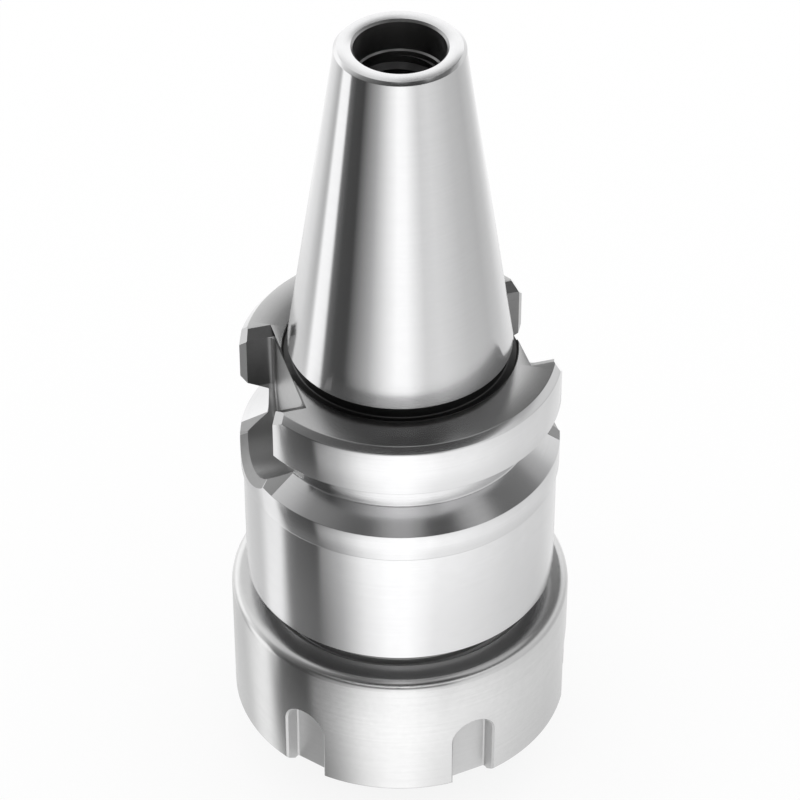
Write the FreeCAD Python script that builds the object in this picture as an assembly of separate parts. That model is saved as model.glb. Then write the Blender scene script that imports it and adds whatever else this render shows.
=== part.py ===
"""Collet chuck holder with a 7/24 steep-taper shank, a V-flange and a slotted clamping nut.

Units are millimetres. The origin is the centre of the gauge circle, where the taper is
31.75 across. +Z runs along the axis towards the small end of the shank, and the two drive
keyways lie on +X and -X. The holder stands on the front face of its nut.
"""
import FreeCAD, Part
import math
import os

# Steep-taper shank
GAUGE_RADIUS = 15.875
TAPER_RATE = 7.0 / 24.0 / 2.0
SHANK_LENGTH = 48.4
SHANK_END_CHAMFER = 0.4
PULL_STUD_PILOT_RADIUS = 6.25
PULL_STUD_PILOT_DEPTH = 4.6
PULL_STUD_TAP_RADIUS = 5.1
BORE_MOUTH_CHAMFER = 0.3

# Relief at the foot of the taper
TAPER_FOOT_DROP = 0.5
RELIEF_UNDERCUT = 0.575
RELIEF_WIDTH = 1.3
RELIEF_DEPTH = 0.6

# Gripper flange
FLANGE_RADIUS = 23.0
FLANGE_TOP_DROP = 2.0
FLANGE_TOP_CHAMFER = 0.9
GROOVE_CENTRE_DROP = 13.85
GROOVE_DEPTH = 4.0
GROOVE_BOTTOM_WIDTH = 3.4
GROOVE_FLANK_ANGLE = 30.0
FLANGE_END_DROP = 22.3
FLANGE_END_STEP = 0.15

# Drive keyways
KEYWAY_WIDTH = 16.1
KEYWAY_FLOOR_STEP = 0.425
KEYWAY_ARC_CENTRE_DROP = 11.3
KEYWAY_FLOOR_BEVEL = 0.6
KEYWAY_LEAD_WIDTH = 1.6
KEYWAY_LEAD_DEPTH = 0.9
KEYWAY_TIP_BEVEL_WIDTH = 1.9
KEYWAY_TIP_BEVEL_HEIGHT = 3.0

# Body and threaded nose
BODY_STEP = 0.35
BODY_LENGTH = 19.2
BODY_END_CHAMFER = 0.3
NOSE_WALL = 3.5
THREAD_PITCH = 1.5
THREAD_HEIGHT_RATIO = 0.6495
THREAD_CLEARANCE = 0.06
NECK_UNDERCUT = 1.2
NECK_LENGTH = 3.2
NOSE_STANDOFF = 1.0
NOSE_CHAMFER = 1.0

# Collet socket and shank bore
COLLET_ANGLE = 8.0
SOCKET_CLEARANCE = 0.04
SOCKET_MOUTH_CHAMFER = 0.4
SOCKET_SPARE_DEPTH = 1.8
TOOL_BORE_RADIUS = 9.0
TOOL_BORE_TOP = 8.0
DRILL_POINT_ANGLE = 59.0

# Clamping nut
NUT_WALL = 5.0
NUT_LENGTH = 22.5
NUT_REAR_GAP = 3.0
NUT_REAR_ROUND = 1.4
NUT_REAR_FLATS = 3
NUT_FRONT_CHAMFER_RADIAL = 1.8
NUT_FRONT_CHAMFER_AXIAL = 1.5
NUT_MOUTH_CLEARANCE = 0.5
NUT_MOUTH_CHAMFER = 0.9
NUT_THREAD_LEAD_IN = 0.8
NUT_THREAD_RUN_OUT = 1.0
NUT_RELIEF_DEPTH = 0.5
NUT_RELIEF_LENGTH = 1.6
NUT_COLLAR_CLEARANCE = 0.6
NUT_SLOT_COUNT = 6
NUT_SLOT_WIDTH = 6.4
NUT_SLOT_HEIGHT = 12.8
NUT_SLOT_DEPTH = 2.8
NUT_SLOT_ANGLE = -80.8

# Extraction ring inside the nut
RING_LENGTH = 1.8
RING_BITE = 0.9
RING_FLOOR_GAP = 0.35
RING_LIP_GAP = 0.3
RING_ROOT = 0.5
RING_TIP_CUT = 0.05

# Collet
COLLET_LENGTH = 40.0
COLLET_RECESS = 0.6
COLLET_SEAT_DEPTH = 2.0
COLLET_LIP_STEP = 1.5
COLLET_SEAT_ANGLE = 30.0
COLLET_SEAT_CLEARANCE = 0.05
COLLET_LIP_LAND = 0.5
COLLET_GROOVE_DEPTH = 1.7
COLLET_GROOVE_WIDTH = 3.2
COLLET_MAX_RADIUS = 16.5
COLLET_MAX_LAND = 1.2
COLLET_REAR_CHAMFER = 0.6
COLLET_BORE_RADIUS = 6.0
COLLET_BORE_LENGTH = 26.0
COLLET_BACK_BORE_STEP = 1.0
COLLET_BORE_CHAMFER = 0.4
COLLET_SLIT_COUNT = 8
COLLET_SLIT_WIDTH = 1.0
COLLET_SLIT_END_WALL = 5.0

# Radii that follow from the sizes above
RELIEF_RADIUS = GAUGE_RADIUS - RELIEF_UNDERCUT
RELIEF_OUTER_RADIUS = RELIEF_RADIUS + RELIEF_WIDTH
GROOVE_BOTTOM_RADIUS = FLANGE_RADIUS - GROOVE_DEPTH
KEYWAY_FLOOR_DISTANCE = GAUGE_RADIUS + KEYWAY_FLOOR_STEP
BODY_RADIUS = FLANGE_RADIUS - BODY_STEP
COLLET_LIP_RADIUS = COLLET_MAX_RADIUS - COLLET_LIP_STEP
COLLET_FACE_RADIUS = COLLET_LIP_RADIUS - COLLET_SEAT_DEPTH
COLLET_GROOVE_RADIUS = COLLET_LIP_RADIUS - COLLET_GROOVE_DEPTH
COLLET_BACK_BORE_RADIUS = COLLET_BORE_RADIUS + COLLET_BACK_BORE_STEP
THREAD_OUTER_RADIUS = COLLET_MAX_RADIUS + NOSE_WALL
PITCH_RADIUS = THREAD_OUTER_RADIUS - THREAD_HEIGHT_RATIO * THREAD_PITCH / 2.0
NECK_RADIUS = THREAD_OUTER_RADIUS - NECK_UNDERCUT
NUT_RADIUS = THREAD_OUTER_RADIUS + NUT_WALL
NUT_MOUTH_RADIUS = COLLET_FACE_RADIUS + NUT_MOUTH_CLEARANCE

# Places along the axis, from the flange down through the nut, then back up the collet to the nose
FLANGE_TOP_Z = -FLANGE_TOP_DROP
FLANGE_END_Z = -FLANGE_END_DROP
BODY_END_Z = FLANGE_END_Z - BODY_LENGTH
NUT_REAR_Z = BODY_END_Z - NUT_REAR_GAP
NUT_FRONT_Z = NUT_REAR_Z - NUT_LENGTH
SEAT_SLOPE = math.tan(math.radians(COLLET_SEAT_ANGLE))
COLLET_SLOPE = math.tan(math.radians(COLLET_ANGLE))
COLLET_FRONT_Z = NUT_FRONT_Z + COLLET_RECESS
COLLET_REAR_Z = COLLET_FRONT_Z + COLLET_LENGTH
LIP_START_Z = COLLET_FRONT_Z + COLLET_SEAT_DEPTH / SEAT_SLOPE
GROOVE_START_Z = LIP_START_Z + COLLET_LIP_LAND
GROOVE_END_Z = GROOVE_START_Z + COLLET_GROOVE_WIDTH
MAX_LAND_START_Z = GROOVE_END_Z + COLLET_LIP_STEP
MAX_LAND_END_Z = MAX_LAND_START_Z + COLLET_MAX_LAND
NOSE_END_Z = MAX_LAND_END_Z + NOSE_STANDOFF

# How far a cutter runs past the surface that it cuts, and the reach of a comparison of places
CUTTER_SPARE = 2.0
TOUCHING = 1e-4

AXIS = FreeCAD.Vector(0, 0, 1)
ORIGIN = FreeCAD.Vector(0, 0, 0)


def turned(corners):
    """Solid of revolution from the corners (radius, z) of half a section."""
    points = [FreeCAD.Vector(radius, 0, z) for radius, z in corners]
    return Part.Face(Part.makePolygon(points + points[:1])).revolve(ORIGIN, AXIS, 360)


def turned_about(solid, degrees):
    """Copy of a solid turned about the axis."""
    copy = solid.copy()
    copy.rotate(ORIGIN, AXIS, degrees)
    return copy


def arched_outline(half_width, open_z, arc_centre_z):
    """Closed wire across X at x = 0: a straight-sided slot, open at open_z, that ends in a half circle."""
    sign = -1.0 if open_z > arc_centre_z else 1.0
    left = FreeCAD.Vector(0, -half_width, arc_centre_z)
    right = FreeCAD.Vector(0, half_width, arc_centre_z)
    crown = FreeCAD.Vector(0, 0, arc_centre_z + sign * half_width)
    open_left = FreeCAD.Vector(0, -half_width, open_z)
    open_right = FreeCAD.Vector(0, half_width, open_z)
    edges = [
        Part.makeLine(open_left, left),
        Part.Arc(left, crown, right).toShape(),
        Part.makeLine(right, open_right),
        Part.makeLine(open_right, open_left),
    ]
    return Part.Wire(edges)


def arched_slot(half_width, floor_distance, reach, open_z, arc_centre_z):
    """Slot cutter with an arched end, from its flat floor out to past the surface at reach."""
    outline = arched_outline(half_width, open_z, arc_centre_z)
    outline.translate(FreeCAD.Vector(floor_distance, 0, 0))
    return Part.Face(outline).extrude(FreeCAD.Vector(reach + CUTTER_SPARE - floor_distance, 0, 0))


def keyway_cutters():
    """Cutters of one drive keyway on +X: the milled slot with its bevels, and the bevel of the tips beside it."""
    half_width = KEYWAY_WIDTH / 2.0
    open_z = SHANK_LENGTH
    slot = arched_slot(half_width, KEYWAY_FLOOR_DISTANCE, FLANGE_RADIUS, open_z, -KEYWAY_ARC_CENTRE_DROP)
    floor_edges = []
    for edge in slot.Edges:
        box = edge.BoundBox
        on_floor = box.XMax - KEYWAY_FLOOR_DISTANCE < TOUCHING
        if on_floor and box.ZMin < open_z - TOUCHING:
            floor_edges.append(edge)
    bevelled = slot.makeChamfer(KEYWAY_FLOOR_BEVEL, floor_edges)
    return [bevelled.fuse(keyway_lead_in(half_width)), keyway_tip_bevel(half_width)]


def keyway_lead_in(half_width):
    """Shallow slopes that lead down from the flange's top face to the two walls of a keyway."""
    low_z = FLANGE_TOP_Z - KEYWAY_LEAD_DEPTH
    high_z = FLANGE_TOP_Z + KEYWAY_LEAD_DEPTH
    wide = half_width + 2.0 * KEYWAY_LEAD_WIDTH
    points = [
        FreeCAD.Vector(KEYWAY_FLOOR_DISTANCE, -half_width, low_z),
        FreeCAD.Vector(KEYWAY_FLOOR_DISTANCE, half_width, low_z),
        FreeCAD.Vector(KEYWAY_FLOOR_DISTANCE, wide, high_z),
        FreeCAD.Vector(KEYWAY_FLOOR_DISTANCE, -wide, high_z),
    ]
    face = Part.Face(Part.makePolygon(points + points[:1]))
    return face.extrude(FreeCAD.Vector(FLANGE_RADIUS, 0, 0))


def keyway_tip_bevel(half_width):
    """Slope that takes off the flange's sharp upper tips on both sides of a keyway."""
    tip = math.sqrt(FLANGE_RADIUS ** 2 - half_width ** 2)
    far = FLANGE_RADIUS + CUTTER_SPARE
    slope = KEYWAY_TIP_BEVEL_HEIGHT / KEYWAY_TIP_BEVEL_WIDTH
    near = tip - KEYWAY_TIP_BEVEL_WIDTH
    points = [
        FreeCAD.Vector(near, -FLANGE_RADIUS, FLANGE_TOP_Z),
        FreeCAD.Vector(far, -FLANGE_RADIUS, FLANGE_TOP_Z - (far - near) * slope),
        FreeCAD.Vector(far, -FLANGE_RADIUS, FLANGE_TOP_Z + CUTTER_SPARE),
        FreeCAD.Vector(near, -FLANGE_RADIUS, FLANGE_TOP_Z + CUTTER_SPARE),
    ]
    face = Part.Face(Part.makePolygon(points + points[:1]))
    return face.extrude(FreeCAD.Vector(0, 2.0 * FLANGE_RADIUS, 0))


def taper_radius(z):
    """Radius of the steep taper at a height above the gauge circle."""
    return GAUGE_RADIUS - TAPER_RATE * z


def collet_radius(z):
    """Radius of the collet's long cone at a height, with the collet clamped."""
    return COLLET_MAX_RADIUS - COLLET_SLOPE * (z - MAX_LAND_END_Z)


def make_holder_body():
    """Shank, flange, body and threaded nose, turned from one bar and milled with two keyways."""
    flank = math.tan(math.radians(GROOVE_FLANK_ANGLE))
    groove_half = GROOVE_BOTTOM_WIDTH / 2.0
    groove_mouth_half = groove_half + (FLANGE_RADIUS - GROOVE_BOTTOM_RADIUS) * flank
    groove_z = -GROOVE_CENTRE_DROP
    end_z = SHANK_LENGTH
    small_end_radius = taper_radius(end_z)
    chamfer_z = end_z - SHANK_END_CHAMFER
    nose_radius = PITCH_RADIUS - THREAD_CLEARANCE / 2.0
    socket_end_z = COLLET_REAR_Z + SOCKET_SPARE_DEPTH
    socket_mouth = collet_radius(NOSE_END_Z) + SOCKET_CLEARANCE
    socket_end = collet_radius(socket_end_z) + SOCKET_CLEARANCE
    pilot_floor_z = end_z - PULL_STUD_PILOT_DEPTH
    drill_rise = (TOOL_BORE_RADIUS - PULL_STUD_TAP_RADIUS) / math.tan(math.radians(DRILL_POINT_ANGLE))
    section = [
        (PULL_STUD_PILOT_RADIUS + BORE_MOUTH_CHAMFER, end_z),
        (small_end_radius - SHANK_END_CHAMFER, end_z),
        (taper_radius(chamfer_z), chamfer_z),
        (GAUGE_RADIUS, 0.0),
        (taper_radius(-TAPER_FOOT_DROP), -TAPER_FOOT_DROP),
        (RELIEF_RADIUS, -TAPER_FOOT_DROP - (taper_radius(-TAPER_FOOT_DROP) - RELIEF_RADIUS)),
        (RELIEF_RADIUS, FLANGE_TOP_Z - RELIEF_DEPTH),
        (RELIEF_OUTER_RADIUS, FLANGE_TOP_Z - RELIEF_DEPTH),
        (RELIEF_OUTER_RADIUS, FLANGE_TOP_Z),
        (FLANGE_RADIUS - FLANGE_TOP_CHAMFER, FLANGE_TOP_Z),
        (FLANGE_RADIUS, FLANGE_TOP_Z - FLANGE_TOP_CHAMFER),
        (FLANGE_RADIUS, groove_z + groove_mouth_half),
        (GROOVE_BOTTOM_RADIUS, groove_z + groove_half),
        (GROOVE_BOTTOM_RADIUS, groove_z - groove_half),
        (FLANGE_RADIUS, groove_z - groove_mouth_half),
        (FLANGE_RADIUS, FLANGE_END_Z + FLANGE_END_STEP),
        (BODY_RADIUS, FLANGE_END_Z),
        (BODY_RADIUS, BODY_END_Z + BODY_END_CHAMFER),
        (BODY_RADIUS - BODY_END_CHAMFER, BODY_END_Z),
        (NECK_RADIUS, BODY_END_Z),
        (NECK_RADIUS, BODY_END_Z - NECK_LENGTH),
        (nose_radius, BODY_END_Z - NECK_LENGTH - (nose_radius - NECK_RADIUS)),
        (nose_radius, NOSE_END_Z + NOSE_CHAMFER),
        (nose_radius - NOSE_CHAMFER, NOSE_END_Z),
        (socket_mouth + SOCKET_MOUTH_CHAMFER, NOSE_END_Z),
        (socket_mouth - COLLET_SLOPE * SOCKET_MOUTH_CHAMFER, NOSE_END_Z + SOCKET_MOUTH_CHAMFER),
        (socket_end, socket_end_z),
        (TOOL_BORE_RADIUS, socket_end_z),
        (TOOL_BORE_RADIUS, TOOL_BORE_TOP),
        (PULL_STUD_TAP_RADIUS, TOOL_BORE_TOP + drill_rise),
        (PULL_STUD_TAP_RADIUS, pilot_floor_z),
        (PULL_STUD_PILOT_RADIUS, pilot_floor_z),
        (PULL_STUD_PILOT_RADIUS, end_z - BORE_MOUTH_CHAMFER),
    ]
    cutters = keyway_cutters()
    return turned(section).cut(cutters + [turned_about(cutter, 180) for cutter in cutters])


def nut_rear_edge():
    """Corners of the nut's rounded rear edge, from the rear face to the outside, in short flats."""
    corners = []
    for step in range(NUT_REAR_FLATS + 1):
        angle = math.pi / 2.0 * step / NUT_REAR_FLATS
        radius = NUT_RADIUS - NUT_REAR_ROUND * (1.0 - math.sin(angle))
        corners.append((radius, NUT_REAR_Z - NUT_REAR_ROUND * (1.0 - math.cos(angle))))
    return corners


def nut_slot_cutter():
    """One wrench slot on +X, open at the nut's front face and arched at its other end."""
    half_width = NUT_SLOT_WIDTH / 2.0
    floor_distance = NUT_RADIUS - NUT_SLOT_DEPTH
    open_z = NUT_FRONT_Z - CUTTER_SPARE
    arc_centre_z = NUT_FRONT_Z + NUT_SLOT_HEIGHT - half_width
    return arched_slot(half_width, floor_distance, NUT_RADIUS, open_z, arc_centre_z)


def make_clamping_nut():
    """Nut in one piece: thread, collar room, eccentric extraction ring, cone seat and six wrench slots."""
    thread_radius = PITCH_RADIUS + THREAD_CLEARANCE / 2.0
    relief_radius = THREAD_OUTER_RADIUS + NUT_RELIEF_DEPTH
    thread_end_z = NOSE_END_Z - NUT_THREAD_RUN_OUT
    collar_radius = COLLET_MAX_RADIUS + NUT_COLLAR_CLEARANCE
    ring_front_z = GROOVE_START_Z + RING_LIP_GAP
    ring_rear_z = ring_front_z + RING_LENGTH
    seat_offset = COLLET_SEAT_CLEARANCE / math.cos(math.radians(COLLET_SEAT_ANGLE))
    lip_room = COLLET_LIP_RADIUS + RING_LIP_GAP
    seat_start_z = COLLET_FRONT_Z + (NUT_MOUTH_RADIUS - seat_offset - COLLET_FACE_RADIUS) / SEAT_SLOPE
    seat_end_z = COLLET_FRONT_Z + (lip_room - seat_offset - COLLET_FACE_RADIUS) / SEAT_SLOPE
    section = nut_rear_edge() + [
        (NUT_RADIUS, NUT_FRONT_Z + NUT_FRONT_CHAMFER_AXIAL),
        (NUT_RADIUS - NUT_FRONT_CHAMFER_RADIAL, NUT_FRONT_Z),
        (NUT_MOUTH_RADIUS + NUT_MOUTH_CHAMFER, NUT_FRONT_Z),
        (NUT_MOUTH_RADIUS, NUT_FRONT_Z + NUT_MOUTH_CHAMFER),
        (NUT_MOUTH_RADIUS, seat_start_z),
        (lip_room, seat_end_z),
        (lip_room, ring_rear_z),
        (collar_radius, ring_rear_z),
        (collar_radius, thread_end_z - NUT_RELIEF_LENGTH),
        (relief_radius, thread_end_z - NUT_RELIEF_LENGTH),
        (relief_radius, thread_end_z),
        (thread_radius, thread_end_z - (thread_radius - relief_radius)),
        (thread_radius, NUT_REAR_Z - NUT_THREAD_LEAD_IN),
        (thread_radius + NUT_THREAD_LEAD_IN, NUT_REAR_Z),
    ]
    cutter = nut_slot_cutter()
    slots = []
    for index in range(NUT_SLOT_COUNT):
        slots.append(turned_about(cutter, NUT_SLOT_ANGLE + index * 360.0 / NUT_SLOT_COUNT))
    ring = extraction_ring(lip_room, ring_front_z, ring_rear_z)
    return turned(section).cut(slots).fuse(ring).removeSplitter()


def extraction_ring(lip_room, front_z, rear_z):
    """Crescent inside the nut that reaches into the collet's groove on one side."""
    bite_radius = COLLET_LIP_RADIUS - RING_BITE
    floor_radius = COLLET_GROOVE_RADIUS + RING_FLOOR_GAP
    near = max(bite_radius, floor_radius)
    hole_radius = (lip_room + near) / 2.0
    offset = (lip_room - near) / 2.0
    height = rear_z - front_z
    band = Part.makeCylinder(lip_room + RING_ROOT, height, FreeCAD.Vector(0, 0, front_z))
    hole = Part.makeCylinder(hole_radius + RING_TIP_CUT, height, FreeCAD.Vector(offset, 0, front_z))
    return band.cut(hole)


def make_collet():
    """Spring collet, turned from one bar and slit from both ends by turns."""
    section = [
        (COLLET_BORE_RADIUS + COLLET_BORE_CHAMFER, COLLET_FRONT_Z),
        (COLLET_FACE_RADIUS, COLLET_FRONT_Z),
        (COLLET_LIP_RADIUS, LIP_START_Z),
        (COLLET_LIP_RADIUS, GROOVE_START_Z),
        (COLLET_GROOVE_RADIUS, GROOVE_START_Z),
        (COLLET_GROOVE_RADIUS, GROOVE_END_Z),
        (COLLET_LIP_RADIUS, GROOVE_END_Z),
        (COLLET_MAX_RADIUS, MAX_LAND_START_Z),
        (COLLET_MAX_RADIUS, MAX_LAND_END_Z),
        (collet_radius(COLLET_REAR_Z - COLLET_REAR_CHAMFER), COLLET_REAR_Z - COLLET_REAR_CHAMFER),
        (collet_radius(COLLET_REAR_Z) - COLLET_REAR_CHAMFER, COLLET_REAR_Z),
        (COLLET_BACK_BORE_RADIUS, COLLET_REAR_Z),
        (COLLET_BACK_BORE_RADIUS, COLLET_FRONT_Z + COLLET_BORE_LENGTH),
        (COLLET_BORE_RADIUS, COLLET_FRONT_Z + COLLET_BORE_LENGTH),
        (COLLET_BORE_RADIUS, COLLET_FRONT_Z + COLLET_BORE_CHAMFER),
    ]
    step = 360.0 / COLLET_SLIT_COUNT
    slit_length = COLLET_LENGTH - COLLET_SLIT_END_WALL
    inner = COLLET_BORE_RADIUS / 2.0
    reach = COLLET_MAX_RADIUS + CUTTER_SPARE - inner
    height = slit_length + CUTTER_SPARE
    side = -COLLET_SLIT_WIDTH / 2.0
    from_front = Part.makeBox(reach, COLLET_SLIT_WIDTH, height,
                              FreeCAD.Vector(inner, side, COLLET_FRONT_Z - CUTTER_SPARE))
    from_rear = Part.makeBox(reach, COLLET_SLIT_WIDTH, height,
                             FreeCAD.Vector(inner, side, COLLET_REAR_Z - slit_length))
    slits = []
    for index in range(COLLET_SLIT_COUNT):
        slits.append(turned_about(from_front, index * step))
        slits.append(turned_about(from_rear, (index + 0.5) * step))
    return turned(section).cut(slits)


def main():
    os.makedirs("parts", exist_ok=True)
    pieces = {
        "holder_body": make_holder_body(),
        "clamping_nut": make_clamping_nut(),
        "collet": make_collet(),
    }
    for name, shape in pieces.items():
        solid = shape.Solids[0]
        print(name, "valid", solid.isValid(), "solids", len(shape.Solids), "volume", round(solid.Volume, 1))
        solid.exportStep("parts/" + name + ".step")


main()
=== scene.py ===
"""Looks of a collet chuck holder: ground steel, cut threads, studio light and the camera.

Sizes are in metres and are those of the solids. +Z runs up the axis to the small end of the
shank, z = 0 is the gauge circle, and the keyways lie on +X and -X.
"""
import math

import bmesh
import bpy
from mathutils import Matrix, Vector


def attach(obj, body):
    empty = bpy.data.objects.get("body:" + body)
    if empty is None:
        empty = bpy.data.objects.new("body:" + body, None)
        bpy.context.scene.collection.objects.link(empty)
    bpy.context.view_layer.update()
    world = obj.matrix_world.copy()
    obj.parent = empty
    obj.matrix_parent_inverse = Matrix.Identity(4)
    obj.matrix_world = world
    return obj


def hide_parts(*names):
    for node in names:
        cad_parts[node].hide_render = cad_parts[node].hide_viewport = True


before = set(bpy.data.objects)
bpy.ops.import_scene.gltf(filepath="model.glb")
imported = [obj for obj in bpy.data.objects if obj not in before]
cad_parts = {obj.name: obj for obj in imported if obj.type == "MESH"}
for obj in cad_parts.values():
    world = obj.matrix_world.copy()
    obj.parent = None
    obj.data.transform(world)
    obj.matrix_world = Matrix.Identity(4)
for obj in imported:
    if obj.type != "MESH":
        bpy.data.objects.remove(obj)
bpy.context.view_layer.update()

MM = 0.001

# Steep-taper shank and its bores
GAUGE_RADIUS = 15.875 * MM
TAPER_RATE = 7.0 / 48.0
SHANK_LENGTH = 48.4 * MM
SHANK_END_CHAMFER = 0.4 * MM
BORE_MOUTH_CHAMFER = 0.3 * MM
PILOT_RADIUS = 6.25 * MM
PILOT_DEPTH = 4.6 * MM
PILOT_FLOOR_CONE = 0.2 * MM
TAP_RADIUS = 5.1 * MM
STUD_THREAD_RADIUS = 6.0 * MM
STUD_THREAD_LENGTH = 24.0 * MM
STUD_THREAD_PITCH = 1.75 * MM
STUD_THREAD_LEAD_IN = 0.8 * MM
TOOL_BORE_RADIUS = 9.0 * MM
TOOL_BORE_TOP = 8.0 * MM
DRILL_SLOPE = math.tan(math.radians(59.0))

# Relief at the foot of the taper
TAPER_FOOT_DROP = 0.5 * MM
RELIEF_RADIUS = 15.3 * MM
RELIEF_OUTER_RADIUS = 16.6 * MM
RELIEF_DEPTH = 0.6 * MM
RELIEF_RIM_ROUND = 0.25 * MM

# Gripper flange
FLANGE_RADIUS = 23.0 * MM
FLANGE_TOP = -2.0 * MM
FLANGE_TOP_CHAMFER = 0.9 * MM
FLANGE_TOP_ROUND = 0.2 * MM
GROOVE_CENTRE = -13.85 * MM
GROOVE_BOTTOM_RADIUS = 19.0 * MM
GROOVE_BOTTOM_WIDTH = 3.4 * MM
GROOVE_SLOPE = math.tan(math.radians(30.0))
FLANGE_END = -22.3 * MM
FLANGE_END_STEP = 0.15 * MM

# Drive keyways
KEYWAY_COUNT = 2
KEYWAY_WIDTH = 16.1 * MM
KEYWAY_FLOOR = 16.3 * MM
KEYWAY_ARC_CENTRE = -11.3 * MM
KEYWAY_CORNER = 1.0 * MM
KEYWAY_BEVEL = 1.15 * MM
KEYWAY_LEAD_WIDTH = 1.6 * MM
KEYWAY_LEAD_DEPTH = 0.9 * MM
KEYWAY_TIP_BEVEL_WIDTH = 1.9 * MM
KEYWAY_TIP_BEVEL_HEIGHT = 3.0 * MM

# Body and threaded nose
BODY_RADIUS = 22.65 * MM
BODY_END = -41.5 * MM
BODY_END_CHAMFER = 0.3 * MM
NECK_RADIUS = 18.8 * MM
NECK_LENGTH = 3.2 * MM
NOSE_THREAD_RADIUS = 20.0 * MM
NOSE_THREAD_PITCH = 1.5 * MM
NOSE_THREAD_DEPTH = 0.92 * MM
NOSE_CHAMFER = 1.0 * MM

# Clamping nut
NUT_RADIUS = 24.99 * MM
NUT_REAR = -44.5 * MM
NUT_FRONT = -67.0 * MM
NUT_TRAVEL = 9.0 * MM
NUT_REAR_ROUND = 1.4 * MM
NUT_FRONT_CHAMFER_RADIAL = 1.8 * MM
NUT_FRONT_CHAMFER_AXIAL = 1.5 * MM
NUT_MOUTH_RADIUS = 13.5 * MM
NUT_MOUTH_CHAMFER = 0.9 * MM
NUT_THREAD_CLEARANCE = 0.03 * MM
NUT_THREAD_LEAD_IN = 0.8 * MM
NUT_THREAD_RUN_OUT = 1.0 * MM
NUT_THREAD_SETBACK = 0.375 * MM
NUT_RELIEF_DEPTH = 0.5 * MM
NUT_RELIEF_LENGTH = 1.6 * MM
NUT_COLLAR_CLEARANCE = 0.6 * MM
SLOT_COUNT = 6
SLOT_WIDTH = 6.4 * MM
SLOT_HEIGHT = 12.8 * MM
SLOT_FLOOR = 22.2 * MM
SLOT_CORNER = 0.35 * MM
SLOT_BEVEL = 0.3 * MM
SLOT_ANGLE = math.radians(-80.8)
RING_LENGTH = 1.8 * MM
RING_BITE_RADIUS = 14.1 * MM
RING_GAP = 0.3 * MM

# Spring collet
COLLET_LENGTH = 40.0 * MM
COLLET_RECESS = 0.6 * MM
COLLET_FACE_RADIUS = 13.0 * MM
COLLET_LIP_RADIUS = 15.0 * MM
COLLET_SEAT_ANGLE = math.radians(30.0)
COLLET_SEAT_CLEARANCE = 0.05 * MM
COLLET_LIP_LAND = 0.5 * MM
COLLET_GROOVE_DEPTH = 1.7 * MM
COLLET_GROOVE_WIDTH = 3.2 * MM
COLLET_RADIUS = 16.5 * MM
COLLET_LAND = 1.2 * MM
COLLET_SLOPE = math.tan(math.radians(8.0))
COLLET_REAR_CHAMFER = 0.6 * MM
COLLET_BORE_RADIUS = 6.0 * MM
COLLET_BORE_LENGTH = 26.0 * MM
COLLET_BACK_BORE_RADIUS = 7.0 * MM
COLLET_BORE_CHAMFER = 0.4 * MM
SLIT_COUNT = 8
SLIT_WIDTH = 1.0 * MM
SLIT_END_WALL = 5.0 * MM
SOCKET_CLEARANCE = 0.04 * MM
SOCKET_MOUTH_CHAMFER = 0.4 * MM
SOCKET_SPARE_DEPTH = 1.8 * MM
NOSE_STANDOFF = 1.0 * MM

# Broken edges, which catch the light
SMALL_EDGE = 0.05 * MM
EDGE = 0.1 * MM
FAIR_EDGE = 0.2 * MM
SOFT_EDGE = 0.25 * MM
ROUND_EDGE = 0.3 * MM

# How finely round things are divided, and how far cutters stand proud
CORNER_STEPS = 4
TURNED_SEGMENTS = 384
ARCH_STEPS = 48
RING_SEGMENTS = 192
SHARP_ANGLE = math.radians(24.0)
MERGE_DISTANCE = 0.0001 * MM
CUTTER_SPARE = 2.0 * MM
CUTTER_INPUTS = ("First cutter", "Second cutter", "Third cutter")

# Thread ridges: their section as shares of the pitch, and how they fade at both ends
THREAD_SEGMENTS = 96
THREAD_ROOT_SHARE = 0.86
THREAD_CREST_SHARE = 0.14
THREAD_FADE_TURNS = 0.6
THREAD_FADE_SCALE = 0.02

# Places along the axis that follow from the sizes above
COLLET_SEAT_SLOPE = math.tan(COLLET_SEAT_ANGLE)
COLLET_FRONT = NUT_FRONT + COLLET_RECESS
COLLET_REAR = COLLET_FRONT + COLLET_LENGTH
LIP_START = COLLET_FRONT + (COLLET_LIP_RADIUS - COLLET_FACE_RADIUS) / COLLET_SEAT_SLOPE
COLLET_GROOVE_START = LIP_START + COLLET_LIP_LAND
COLLET_GROOVE_END = COLLET_GROOVE_START + COLLET_GROOVE_WIDTH
LAND_START = COLLET_GROOVE_END + COLLET_RADIUS - COLLET_LIP_RADIUS
LAND_END = LAND_START + COLLET_LAND
NOSE_END = LAND_END + NOSE_STANDOFF
PILOT_FLOOR = SHANK_LENGTH - PILOT_DEPTH
SLOT_ARC_CENTRE = NUT_FRONT + SLOT_HEIGHT - SLOT_WIDTH / 2.0

# Parts of a face's normal at which the zone of a finish ends
FACING_AXIS = 0.3
FLAT = 0.8
LEVEL = 0.99
WALL_LIMIT = 0.75
LEAD_IN_TILT = (0.7, 0.95)

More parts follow.
